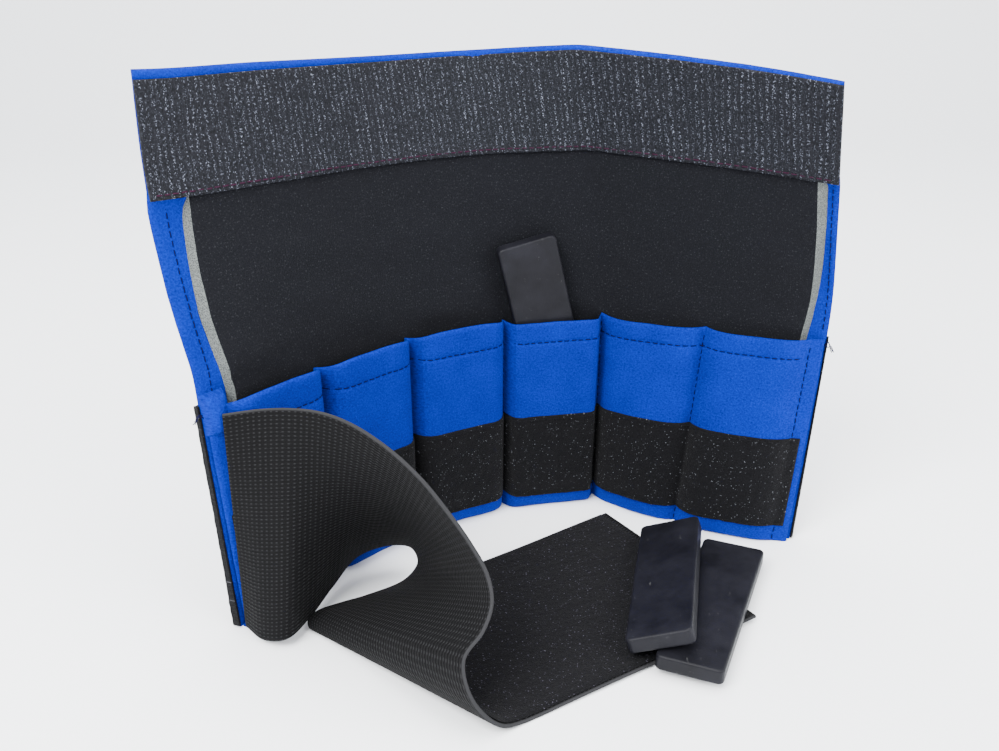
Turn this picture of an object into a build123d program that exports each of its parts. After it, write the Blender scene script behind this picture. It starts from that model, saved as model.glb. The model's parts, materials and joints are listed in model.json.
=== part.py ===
from build123d import *
import math
import os

# Ankle cuff weight, standing open on its bottom edge. Millimetres, +Z up.
# The cuff is six panels joined by stitched seams. Each panel has its own frame:
# x runs along the panel from its left seam, n points out of its pocket side.
# The origin is the middle of the bottom face of the fourth panel's shell.

# Panels and seams
PITCH = 56.0
PANEL_HEADINGS = [52.0, 42.0, 27.0, 12.0, -24.0, -24.0]
ROOT_PANEL = 4
BORDER = 8.0
SIDE_GAP = 0.3
FOLD_GAP = 0.5

# Heights
TOP_HEIGHT = 258.0
FOLD_HEIGHT = 131.0
MOUTH_HEIGHT = 115.0
HOOK_STRIP_WIDTH = 50.0
LOOP_STRIP_BOTTOM = 9.0

# Layer faces, measured along n
HOOK_FACE = 0.0
LINER_FACE = -1.5
SHELL_FACE = -5.5
OUTER_LOOP_FACE = -9.0
BACK_FACE = -10.5
FOLD_AXIS_N = 7.0
FLAP_LEANS = [0.0, 0.0, 0.0, 0.0, 9.0, 17.0]

# Flap side slants: how far each side of a flap segment shifts at the top edge
FLAP_LEFT_SHIFTS = [0.0, 0.0, 0.0, 0.0, -18.0, 0.0]
FLAP_RIGHT_SHIFTS = [0.0, 0.0, 0.0, -25.0, 0.0, 0.0]

# Pockets
SEAM_LAND = 1.9
LAND_FACE = 1.0
POCKET_FACE = 12.0
POCKET_SHEET = 2.5
POCKET_SHOULDER = 4.9
CAVITY_BACK = 3.9
CAVITY_FRONT = 6.0
POCKET_FLOOR = 6.0
LAYER_CLEARANCE = 0.2
LOOP_STRIP_INSET = 6.0
LOOP_STRIP_THICKNESS = 1.5

# Outer loop panel
OUTER_LOOP_BOTTOM = 3.0
OUTER_LOOP_TOP = 112.0

# Liner
LINER_BOTTOM = 6.0
LINER_SIDE_INSET = 4.0

# Weight bars
BAR_WIDTH = 32.0
BAR_LENGTH = 105.0
BAR_THICKNESS = 8.0
BAR_CORNER = 3.0
BAR_EDGE = 1.2
BAR_BACK = 0.4
BAR_SEAT_HEIGHT = 9.0
FULL_POCKETS = [1, 2, 3]
LEANING_BAR_POCKET = 4
LEANING_BAR_TILT = 13.0
LEANING_BAR_X = 23.3
LEANING_BAR_HEIGHT = 109.5
LOWER_BAR_CENTRE = (49.5, -121.0)
LOWER_BAR_HEADING = 68.0
UPPER_BAR_CENTRE = (27.5, -109.5)
UPPER_BAR_HEADING = 79.0
UPPER_BAR_ROLL = 19.5
UPPER_BAR_PITCH = 2.2
UPPER_BAR_HEIGHT = 14.8

# Closing strap: lower and upper edge of the free web, measured from the main seam
STRAP_THICKNESS = 2.0
STRAP_HOOK_THICKNESS = 1.5
STRAP_HOOK_INSET = 3.0
TAIL_START_GAP = 4.0
HOOK_START_GAP = 14.0
REST_GAP = 0.2
STRAP_LOWER_EDGE = [
    (-181, -124, 1.5), (-167, -140, 4), (-157, -145, 6), (-149, -129, 6), (-141, -107, 9),
    (-130, -90, 15), (-114, -82, 17), (-102, -81, 15), (-98, -88, 10), (-104, -99, 6.5),
    (-122, -112, 6.5), (-136, -119, 6.5), (-145, -124, 6), (-149, -129, 4.5), (-147, -132, 2.2),
]
STRAP_UPPER_EDGE = [
    (-181, -124, 115.5), (-165.5, -127, 116), (-150, -127, 118), (-136, -129, 119), (-122, -136, 117),
    (-106, -145, 111), (-91, -154, 101), (-79, -162, 88), (-68, -170, 77), (-61, -178, 66),
    (-59, -185, 57), (-62, -193, 48), (-68, -200, 38), (-66, -203, 20), (-55, -197, 3),
]
TAIL_FOLD_FAR = (-146.0, -130.0)
TAIL_FOLD_NEAR = (-56.0, -193.5)
TAIL_END_NEAR = (70.5, -122.4)
TAIL_END_FAR = (4.5, -28.0)


def direction(heading):
    """Unit vector of a heading in the floor plane."""
    return Vector(math.cos(math.radians(heading)), math.sin(math.radians(heading)), 0)


def front_normal(heading):
    """Unit vector out of the pocket side of a panel with this heading."""
    return Vector(math.sin(math.radians(heading)), -math.cos(math.radians(heading)), 0)


def seam_points():
    """The seven vertical seam lines on the floor, left to right, as Vectors."""
    heading = PANEL_HEADINGS[ROOT_PANEL - 1]
    shell_middle = (SHELL_FACE + OUTER_LOOP_FACE) / 2
    left = direction(heading) * (-PITCH / 2) - front_normal(heading) * shell_middle
    points = {ROOT_PANEL - 1: left}
    for index in range(ROOT_PANEL - 2, -1, -1):
        points[index] = points[index + 1] - direction(PANEL_HEADINGS[index]) * PITCH
    for index in range(ROOT_PANEL, len(PANEL_HEADINGS) + 1):
        points[index] = points[index - 1] + direction(PANEL_HEADINGS[index - 1]) * PITCH
    return [points[index] for index in range(len(PANEL_HEADINGS) + 1)]


SEAMS = seam_points()
PANELS = range(1, len(PANEL_HEADINGS) + 1)
MAIN_SEAM = SEAMS[ROOT_PANEL]


def panel_location(number):
    """Location whose x runs along the panel, whose -y is n and whose z is up."""
    heading = PANEL_HEADINGS[number - 1]
    plane = Plane(origin=SEAMS[number - 1], x_dir=direction(heading), z_dir=(0, 0, 1))
    return plane.location


def slab(x0, x1, n0, n1, z0, z1):
    """A box in panel coordinates."""
    box = Box(x1 - x0, n1 - n0, z1 - z0)
    return Pos((x0 + x1) / 2, -(n0 + n1) / 2, (z0 + z1) / 2) * box


def side_limits(number, gap=SIDE_GAP, border=BORDER):
    """Left and right x of a panel's layers, with the free borders at the cuff's ends."""
    left = -border if number == PANELS[0] else gap
    right = PITCH + border if number == PANELS[-1] else PITCH - gap
    return left, right


def flap_sheet(number, n0, n1, z0, z1, side_inset=0.0):
    """One layer of a flap segment, with its slanted sides and its forward lean."""
    left, right = side_limits(number)
    left = left + side_inset if number == PANELS[0] else left
    right = right - side_inset if number == PANELS[-1] else right
    rise = TOP_HEIGHT - FOLD_HEIGHT
    left_slope = FLAP_LEFT_SHIFTS[number - 1] / rise
    right_slope = FLAP_RIGHT_SHIFTS[number - 1] / rise
    corners = [
        (left + left_slope * (z0 - FOLD_HEIGHT), z0),
        (right + right_slope * (z0 - FOLD_HEIGHT), z0),
        (right + right_slope * (z1 - FOLD_HEIGHT), z1),
        (left + left_slope * (z1 - FOLD_HEIGHT), z1),
    ]
    outline = Plane.XZ * make_face(Polyline(*corners, close=True))
    sheet = extrude(outline, n1 - n0)
    sheet = Pos(0, -n0, 0) * sheet
    hinge = Pos(0, -FOLD_AXIS_N, FOLD_HEIGHT)
    return hinge * Rot(FLAP_LEANS[number - 1], 0, 0) * hinge.inverse() * sheet


def plan_prism(points, z0, z1):
    """A vertical prism from an outline in panel x and n."""
    outline = make_face(Polyline(*[(x, -n) for x, n in points], close=True))
    return Pos(0, 0, z0) * extrude(outline, z1 - z0)


def pocket_front():
    """The pocket's outer sheet: a shallow tray that is open at its back and its mouth."""
    back = LINER_FACE + LAYER_CLEARANCE
    inner = POCKET_FACE - POCKET_SHEET
    outside = [
        (SEAM_LAND, back),
        (SEAM_LAND, LAND_FACE),
        (POCKET_SHOULDER, POCKET_FACE),
        (PITCH - POCKET_SHOULDER, POCKET_FACE),
        (PITCH - SEAM_LAND, LAND_FACE),
        (PITCH - SEAM_LAND, back),
    ]
    cavity = [
        (CAVITY_BACK, back - 1),
        (CAVITY_BACK, back),
        (CAVITY_FRONT, inner),
        (PITCH - CAVITY_FRONT, inner),
        (PITCH - CAVITY_BACK, back),
        (PITCH - CAVITY_BACK, back - 1),
    ]
    tray = plan_prism(outside, POCKET_FLOOR, MOUTH_HEIGHT)
    return tray - plan_prism(cavity, POCKET_FLOOR + POCKET_SHEET, MOUTH_HEIGHT + 1)


def weight_bar():
    """A coated steel bar, lying flat and centred, long side along x."""
    bar = Box(BAR_LENGTH, BAR_WIDTH, BAR_THICKNESS)
    bar = fillet(bar.edges().filter_by(Axis.Z), BAR_CORNER)
    rims = bar.faces().filter_by(Axis.Z).edges()
    return fillet(rims, BAR_EDGE)


def standing_bar(x, height, tilt=0.0):
    """A weight bar on its end inside a pocket; tilt leans its top to the left."""
    middle_n = BAR_BACK + BAR_THICKNESS / 2
    upright = Rot(90, 0, 0) * Rot(0, 0, 90) * weight_bar()
    return Pos(x, -middle_n, height) * Rot(0, -tilt, 0) * upright


def loose_bar(centre, heading, height, roll=0.0, pitch=0.0):
    """A weight bar lying down, centred at a height above the floor."""
    place = Pos(MAIN_SEAM.X + centre[0], MAIN_SEAM.Y + centre[1], height)
    return place * Rot(0, 0, heading) * Rot(0, pitch, 0) * Rot(roll, 0, 0) * weight_bar()


def strap_sections():
    """Thin cross-sections of the free web, one across each pair of edge points."""
    lower = [MAIN_SEAM + Vector(*point) for point in STRAP_LOWER_EDGE]
    upper = [MAIN_SEAM + Vector(*point) for point in STRAP_UPPER_EDGE]
    middles = [(low + high) * 0.5 for low, high in zip(lower, upper)]
    sections = []
    for index, middle in enumerate(middles):
        ahead = middles[min(index + 1, len(middles) - 1)]
        behind = middles[max(index - 1, 0)]
        across = (upper[index] - lower[index]).normalized()
        along = (ahead - behind).normalized()
        along = (along - across * along.dot(across)).normalized()
        width = (upper[index] - lower[index]).length
        plane = Plane(origin=middle, x_dir=across, z_dir=along)
        sections.append(plane * Rectangle(width, STRAP_THICKNESS))
    return sections


def tail_plate(start_gap, inset, z0, z1):
    """A flat layer of the strap's tail on the floor."""
    far_start = MAIN_SEAM + Vector(*TAIL_FOLD_FAR)
    near_start = MAIN_SEAM + Vector(*TAIL_FOLD_NEAR)
    near_end = MAIN_SEAM + Vector(*TAIL_END_NEAR)
    far_end = MAIN_SEAM + Vector(*TAIL_END_FAR)
    along = (near_end - near_start).normalized()
    across = (near_end - far_end).normalized()
    corners = [
        far_start + along * start_gap + across * inset,
        near_start + along * start_gap - across * inset,
        near_end - along * inset - across * inset,
        far_end - along * inset + across * inset,
    ]
    outline = make_face(Polyline(*[(corner.X, corner.Y) for corner in corners], close=True))
    return Pos(0, 0, z0) * extrude(outline, z1 - z0)


def build_parts():
    """Every separate piece, by node name."""
    parts = {}
    hook_bottom = TOP_HEIGHT - HOOK_STRIP_WIDTH
    for number in PANELS:
        place = panel_location(number)
        left, right = side_limits(number)
        lined_left, lined_right = side_limits(number, border=0.0)
        parts[f"shell_panel_{number}"] = place * slab(
            left, right, OUTER_LOOP_FACE, SHELL_FACE, 0, FOLD_HEIGHT - FOLD_GAP
        )
        parts[f"liner_panel_{number}"] = place * slab(
            lined_left, lined_right, SHELL_FACE, LINER_FACE, LINER_BOTTOM, FOLD_HEIGHT - FOLD_GAP
        )
        parts[f"outer_loop_{number}"] = place * slab(
            left, right, BACK_FACE, OUTER_LOOP_FACE, OUTER_LOOP_BOTTOM, OUTER_LOOP_TOP
        )
        parts[f"pocket_front_{number}"] = place * pocket_front()
        parts[f"loop_strip_{number}"] = place * slab(
            LOOP_STRIP_INSET,
            PITCH - LOOP_STRIP_INSET,
            POCKET_FACE,
            POCKET_FACE + LOOP_STRIP_THICKNESS,
            LOOP_STRIP_BOTTOM,
            LOOP_STRIP_BOTTOM + HOOK_STRIP_WIDTH,
        )
        parts[f"shell_flap_{number}"] = place * flap_sheet(
            number, OUTER_LOOP_FACE, SHELL_FACE, FOLD_HEIGHT + FOLD_GAP, TOP_HEIGHT
        )
        parts[f"liner_flap_{number}"] = place * flap_sheet(
            number,
            SHELL_FACE,
            LINER_FACE,
            FOLD_HEIGHT + FOLD_GAP,
            hook_bottom - FOLD_GAP,
            BORDER + LINER_SIDE_INSET,
        )
        parts[f"hook_strip_{number}"] = place * flap_sheet(
            number, SHELL_FACE, HOOK_FACE, hook_bottom, TOP_HEIGHT
        )
    home_height = BAR_SEAT_HEIGHT + BAR_LENGTH / 2
    for number in FULL_POCKETS:
        home = standing_bar(PITCH / 2, home_height)
        parts[f"weight_bar_{number}"] = panel_location(number) * home
    leaning = standing_bar(LEANING_BAR_X, LEANING_BAR_HEIGHT, LEANING_BAR_TILT)
    parts["weight_bar_4"] = panel_location(LEANING_BAR_POCKET) * leaning
    tail_top = STRAP_THICKNESS + STRAP_HOOK_THICKNESS
    parts["weight_bar_5"] = loose_bar(
        LOWER_BAR_CENTRE, LOWER_BAR_HEADING, tail_top + REST_GAP + BAR_THICKNESS / 2
    )
    parts["weight_bar_6"] = loose_bar(
        UPPER_BAR_CENTRE, UPPER_BAR_HEADING, UPPER_BAR_HEIGHT, -UPPER_BAR_ROLL, UPPER_BAR_PITCH
    )
    parts["strap_web"] = loft(strap_sections(), ruled=True)
    parts["strap_tail"] = tail_plate(TAIL_START_GAP, 0, 0, STRAP_THICKNESS)
    parts["strap_hook"] = tail_plate(HOOK_START_GAP, STRAP_HOOK_INSET, STRAP_THICKNESS, tail_top)
    return parts


os.makedirs("parts", exist_ok=True)
for node, shape in build_parts().items():
    export_step(shape, f"parts/{node}.step")
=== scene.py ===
import json
import math
import random

import bpy
import numpy as np
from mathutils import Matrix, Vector


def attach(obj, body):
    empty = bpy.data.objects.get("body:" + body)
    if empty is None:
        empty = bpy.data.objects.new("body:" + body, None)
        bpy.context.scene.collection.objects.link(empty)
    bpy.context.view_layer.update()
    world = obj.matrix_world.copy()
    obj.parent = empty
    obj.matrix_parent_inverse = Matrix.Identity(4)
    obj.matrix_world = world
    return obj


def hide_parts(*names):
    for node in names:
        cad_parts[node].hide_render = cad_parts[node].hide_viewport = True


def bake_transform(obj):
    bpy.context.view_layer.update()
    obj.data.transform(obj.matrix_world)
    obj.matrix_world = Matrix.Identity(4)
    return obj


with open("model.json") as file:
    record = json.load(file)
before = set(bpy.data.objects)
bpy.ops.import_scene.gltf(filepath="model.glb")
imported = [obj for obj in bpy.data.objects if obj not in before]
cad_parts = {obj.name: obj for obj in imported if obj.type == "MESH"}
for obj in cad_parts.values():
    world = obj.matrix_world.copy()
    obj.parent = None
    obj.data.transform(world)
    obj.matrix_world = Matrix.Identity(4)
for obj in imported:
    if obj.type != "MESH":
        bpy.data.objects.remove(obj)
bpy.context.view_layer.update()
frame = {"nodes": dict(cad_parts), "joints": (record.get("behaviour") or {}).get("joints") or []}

random.seed(7)
MM = 0.001

# ---------------------------------------------------------------- the frame
JOINTS = {joint["name"]: joint for joint in frame["joints"]}
PANELS = range(1, 7)
PITCH = 56.0
LAST_SEAM = 6 * PITCH
END_BORDER = 8.0
FOLD_HEIGHT = 131.0
FOLD_AXIS_N = 7.0
SPLIT_HEIGHT = 112.0
FOLD_BLEND_TOP = 150.0


def fold_joint(number):
    """The record's joint that folds one flap segment."""
    return JOINTS["flap_fold" if number == 4 else f"flap_fold_{number}"]


def panel_direction(number):
    """Unit vector along a panel, left to right."""
    return np.array(fold_joint(number)["axis"], float)


def panel_front(number):
    """Unit vector out of a panel's pocket side."""
    along = panel_direction(number)
    return np.array([along[1], -along[0], 0.0])


def seam_point(index):
    """A vertical seam line on the floor, in millimetres; seam 0 is the cuff's left end of pockets."""
    number = max(index, 1)
    middle = np.array(fold_joint(number)["pos_m"], float) / MM
    middle[2] = 0.0
    reach = PITCH / 2 if index > 0 else -PITCH / 2
    return middle - panel_front(number) * FOLD_AXIS_N + panel_direction(number) * reach


SEAMS = [seam_point(index) for index in range(7)]
MAIN = SEAMS[4]

# ---------------------------------------------------------------- the wall's surface
# Where the cloth of the wall hangs at each seam, measured from the main seam.
LEFT_END = -END_BORDER
RIGHT_END = LAST_SEAM + END_BORDER
CREASE = 4 * PITCH
TOP_V = 258.0
KNOTS = [LEFT_END, 0, PITCH, 2 * PITCH, 3 * PITCH, CREASE, 5 * PITCH, LAST_SEAM, RIGHT_END]
BOTTOM_ROW = [
    (-177, -131, 0), (-173.5, -124, 0), (-144.5, -77.5, 0), (-104, -38.8, 0), (-54.8, -12.3, 0),
    (-0.8, -0.8, 0), (43.5, -30.5, 0), (94.5, -52, 0), (101.5, -56, 0),
]
FOLD_ROW = [
    (-190.5, -118.5, 131), (-184.5, -113, 131), (-146.8, -73.5, 131), (-105, -36.5, 131),
    (-54, -11.2, 131), (0.6, -0.2, 131), (56, -19.5, 131), (108.5, -36, 131), (115.5, -38, 131),
]
TOP_ROW = [
    (-206, -104, 263.5), (-200.5, -100, 263), (-160, -66, 260.5), (-120, -29, 257),
    (-72, -4, 256), (-18.5, -6, 258.5), (37, -34, 256), (90, -60.5, 251), (97.5, -64.5, 250),
]
CREASE_ROUNDING = 5.0
FOLD_ROUNDING = 14.0
EDGE_BOW = -4.5  # the flap's left edge curves outward between the fold and its top
EDGE_BOW_REACH = 45.0
NORMAL_STEP = 0.5


def hermite(points, knots, places):
    """Smooth curve that passes through each point at its knot, read at the given places."""
    slopes = np.gradient(points, knots, axis=0)
    index = np.clip(np.searchsorted(knots, places, side="right") - 1, 0, len(knots) - 2)
    span = (knots[index + 1] - knots[index])[..., None]
    t = (places - knots[index])[..., None] / span
    a, b = points[index], points[index + 1]
    sa, sb = slopes[index] * span, slopes[index + 1] * span
    return (
        (2 * t**3 - 3 * t**2 + 1) * a
        + (t**3 - 2 * t**2 + t) * sa
        + (-2 * t**3 + 3 * t**2) * b
        + (t**3 - t**2) * sb
    )


def hermite_row(row, u, first, last):
    """Smooth curve through knots first..last of one row."""
    knots = np.array(KNOTS[first:last + 1], float)
    points = np.array(row[first:last + 1], float)
    return hermite(points, knots, np.clip(u, knots[0], knots[-1]))


def rounded(t, before, corner, after):
    """Quadratic arc that rounds a corner, for t from 0 to 1."""
    t = np.clip(t, 0, 1)[..., None]
    return (1 - t) ** 2 * before + 2 * t * (1 - t) * corner + t**2 * after


def creased_row(row, u):
    """One row of the wall: two smooth curves that meet at the main seam's crease."""
    middle = KNOTS.index(CREASE)
    left = hermite_row(row, np.minimum(u, CREASE), 0, middle)
    right = hermite_row(row, np.maximum(u, CREASE), middle, len(KNOTS) - 1)
    sharp = np.where((u < CREASE)[..., None], left, right)
    r = CREASE_ROUNDING
    start = hermite_row(row, np.full_like(u, CREASE - r), 0, middle)
    end = hermite_row(row, np.full_like(u, CREASE + r), middle, len(KNOTS) - 1)
    soft = rounded((u - CREASE + r) / (2 * r), start, np.array(row[middle], float), end)
    near = (np.abs(u - CREASE) < r)[..., None]
    return np.where(near, soft, sharp)


def wall(u, v):
    """Point on the wall's reference face, n = 0. u runs along the cuff, v up it, in mm."""
    u = np.asarray(u, float)
    v = np.asarray(v, float)
    bottom, fold, top = (creased_row(row, u) for row in (BOTTOM_ROW, FOLD_ROW, TOP_ROW))

    def straight(height):
        low = (height / FOLD_HEIGHT)[..., None]
        high = ((height - FOLD_HEIGHT) / (TOP_V - FOLD_HEIGHT))[..., None]
        return np.where(
            (height < FOLD_HEIGHT)[..., None],
            bottom + (fold - bottom) * low,
            fold + (top - fold) * high,
        )

    r = FOLD_ROUNDING
    sharp = straight(v)
    below = straight(np.full_like(v, FOLD_HEIGHT - r))
    above = straight(np.full_like(v, FOLD_HEIGHT + r))
    soft = rounded((v - FOLD_HEIGHT + r) / (2 * r), below, fold, above)
    near = (np.abs(v - FOLD_HEIGHT) < r)[..., None]
    rise = np.clip((v - FOLD_HEIGHT) / (TOP_V - FOLD_HEIGHT), 0, 1)
    bow = np.sin(math.pi * rise) * np.exp(-(((u - LEFT_END) / EDGE_BOW_REACH) ** 2))
    return np.where(near, soft, sharp) + MAIN + bow[..., None] * np.array([EDGE_BOW, 0.0, 0.0])


def wall_normal(u, v):
    """Unit normal of the wall, out of its pocket side."""
    du = wall(u + NORMAL_STEP, v) - wall(u - NORMAL_STEP, v)
    dv = wall(u, v + NORMAL_STEP) - wall(u, v - NORMAL_STEP)
    normal = np.cross(du, dv)
    return normal / np.linalg.norm(normal, axis=-1, keepdims=True)


def offset_wall(u, v, n):
    """Point at height n off the wall's reference face; it runs straight on past the wall's ends."""
    margin = NORMAL_STEP + 0.1
    u_in = np.clip(u, LEFT_END + margin, RIGHT_END - margin)
    normal = wall_normal(u_in, v)
    edge = wall(u_in, v)
    along = wall(u_in + NORMAL_STEP, v) - wall(u_in - NORMAL_STEP, v)
    return edge + along * (u - u_in)[..., None] + normal * np.asarray(n)[..., None]


# ---------------------------------------------------------------- small helpers
def smooth_noise(u, v, scale, seed):
    """Cheap seeded value in -1..1 that varies smoothly over the cloth."""
    rng = np.random.default_rng(seed)
    total = np.zeros_like(np.asarray(u, float))
    waves = 14
    for _ in range(waves):
        angle = rng.uniform(0, math.pi)
        rate = rng.uniform(0.6, 1.7) * 2 * math.pi / scale
        phase = rng.uniform(0, 2 * math.pi)
        total = total + np.sin((u * math.cos(angle) + v * math.sin(angle)) * rate + phase)
    return total / math.sqrt(waves)


def axis_samples(start, end, step, cuts, rim):
    """Grid lines from start to end: even steps, denser at the rims, and exact lines at cuts."""
    values = list(np.linspace(start, end, max(2, int(round((end - start) / step)) + 1)))
    for fraction in (0.08, 0.25, 0.55, 1.0):
        values += [start + rim * fraction, end - rim * fraction]
    exact = [cut for cut in cuts if start < cut < end]
    kept = [value for value in values if all(abs(value - cut) > step * 0.35 for cut in exact)]
    merged = sorted(kept + exact)
    result = [merged[0]]
    for value in merged[1:]:
        if value - result[-1] > 0.05 or value in exact:
            result.append(value)
    return np.array(result)


U_CUTS = [PITCH / 2 * k for k in range(0, 13)]
V_CUTS = [SPLIT_HEIGHT]
FLOOR_GAP = 0.03


def rim_factor(distance, radius):
    """Share of the full thickness near a rounded rim."""
    t = np.clip(distance / radius, 0.0, 1.0)
    return np.sqrt(np.clip(1 - (1 - t) ** 2, 0.02, 1))


def regions_of(u, v, low_only=False):
    """Which piece of the frame each bit of cloth belongs to: seams 0..6, flap segments 11..16."""
    seam = np.clip(np.round(u / PITCH), 0, 6).astype(int)
    flap = np.clip(np.floor(u / PITCH) + 1, 1, 6).astype(int) + 10
    return seam if low_only else np.where(v < SPLIT_HEIGHT, seam, flap)


def region_name(code):
    """Kind and number of a region."""
    return ("flap", code - 10) if code > 10 else ("seam", code)


def bind(piece, region):
    """Rides a piece of seam 0 or 6 on panel_1 or panel_6; bakes every other piece in place."""
    kind, index = region
    if kind == "seam":
        if index in (0, 6):
            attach(piece, "panel_1" if index == 0 else "panel_6")
        else:
            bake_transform(piece)
    else:
        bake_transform(piece)


def replaced_nodes(stem, region):
    """CAD nodes that a region's piece stands for."""
    kind, index = region
    if kind == "flap":
        return [f"{stem}_{index}"]
    return [f"{stem}_{number}" for number in (index, index + 1) if number in PANELS]


def scene_object(name, data):
    """A new object, put in the scene."""
    item = bpy.data.objects.new(name, data)
    bpy.context.scene.collection.objects.link(item)
    return item


def mesh_object(name, points, faces, materials, face_materials=None, flat=None, normals=None):
    """A smooth-shaded mesh object from points in millimetres."""
    mesh = bpy.data.meshes.new(name)
    mesh.from_pydata([tuple(point) for point in np.asarray(points) * MM], [], faces)
    for material in materials:
        mesh.materials.append(material)
    if face_materials is not None:
        mesh.polygons.foreach_set("material_index", np.asarray(face_materials, np.int32))
    mesh.polygons.foreach_set("use_smooth", np.ones(len(mesh.polygons), bool))
    if flat is not None:
        attribute = mesh.attributes.new("flat", "FLOAT_VECTOR", "POINT")
        attribute.data.foreach_set("vector", np.asarray(flat, np.float32).ravel())
    mesh.update()
    if normals is not None:
        mesh.normals_split_custom_set_from_vertices([tuple(n) for n in normals])
    return scene_object(name, mesh)


def vertex_normals(points, faces):
    """Area-weighted normals of a whole sheet, so its cut pieces shade as one."""
    points = np.asarray(points, float)
    normals = np.zeros_like(points)
    quads = np.array([face if len(face) == 4 else (*face, face[-1]) for face in faces])
    a, b, c, d = (points[quads[:, k]] for k in range(4))
    face_normals = np.cross(c - a, d - b)
    for k in range(4):
        np.add.at(normals, quads[:, k], face_normals)
    lengths = np.linalg.norm(normals, axis=1, keepdims=True)
    return normals / np.maximum(lengths, 1e-12)


def lift_to_floor(points):
    """Nothing reaches below the floor."""
    points = np.array(points, float)
    points[:, 2] = np.maximum(points[:, 2], FLOOR_GAP)
    return points


def cut_and_bind(name, points, faces, flat, materials, face_materials=None, *, low_only=False,
                 stems=None):
    """Splits a whole sheet of quads into the frame's regions and binds each piece."""
    points = lift_to_floor(points)
    normals = vertex_normals(points, faces)
    faces = np.array(faces)
    centres = flat[faces, :2].mean(axis=1)
    codes = regions_of(centres[:, 0], centres[:, 1], low_only)
    for code in np.unique(codes):
        members = np.nonzero(codes == code)[0]
        used, local = np.unique(faces[members], return_inverse=True)
        kinds = None if face_materials is None else np.asarray(face_materials)[members]
        region = region_name(int(code))
        piece = mesh_object(f"{name}_{region[0]}_{region[1]}", points[used],
                            local.reshape(-1, 4).tolist(), materials, kinds, flat[used], normals[used])
        bind(piece, region)
        stem = (stems or {}).get(region[0])
        if stem:
            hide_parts(*replaced_nodes(stem, region))


def closed_faces(rows, columns):
    """Faces of a slab: a front grid of points, a back grid numbered after it, and four side walls."""
    count = rows * columns
    faces = []
    for a in (i * columns + j for i in range(rows - 1) for j in range(columns - 1)):
        b = a + columns
        faces.append((a, b, b + 1, a + 1))
        faces.append((count + a, count + a + 1, count + b + 1, count + b))
    for a in range(0, (rows - 1) * columns, columns):
        b = a + columns
        faces.append((a, count + a, count + b, b))
        a, b = a + columns - 1, b + columns - 1
        faces.append((a, b, count + b, count + a))
    for a in range(columns - 1):
        faces.append((a, a + 1, count + a + 1, count + a))
        a += (rows - 1) * columns
        faces.append((a, count + a, count + a + 1, a + 1))
    return faces


def flat_points(grid_u, grid_v):
    """Flat cloth coordinates for both faces of a slab."""
    flat = np.stack([grid_u, grid_v, np.zeros_like(grid_u)], axis=-1).reshape(-1, 3)
    return np.concatenate([flat, flat])


def sheet(u_lines, v_lines, front, back, warp=None):
    """A closed sheet of cloth on the wall, from its front and back heights."""
    grid_u, grid_v = np.meshgrid(u_lines, v_lines, indexing="ij")
    if warp is not None:
        grid_u, grid_v = warp(grid_u, grid_v)
    outer = offset_wall(grid_u, grid_v, front(grid_u, grid_v)).reshape(-1, 3)
    inner = offset_wall(grid_u, grid_v, back(grid_u, grid_v)).reshape(-1, 3)
    return np.concatenate([outer, inner]), closed_faces(*grid_u.shape), flat_points(grid_u, grid_v)


# ---------------------------------------------------------------- materials
HOOK_RIB = 3.0  # pitch of the hook tape's ribs
WEB_ROW = 1.9  # pitch of the elastic's rows of dots, across the strap
WEB_DOT = 2.6  # pitch of the dots along a row
STRAP_WIDTH = 114.0


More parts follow.
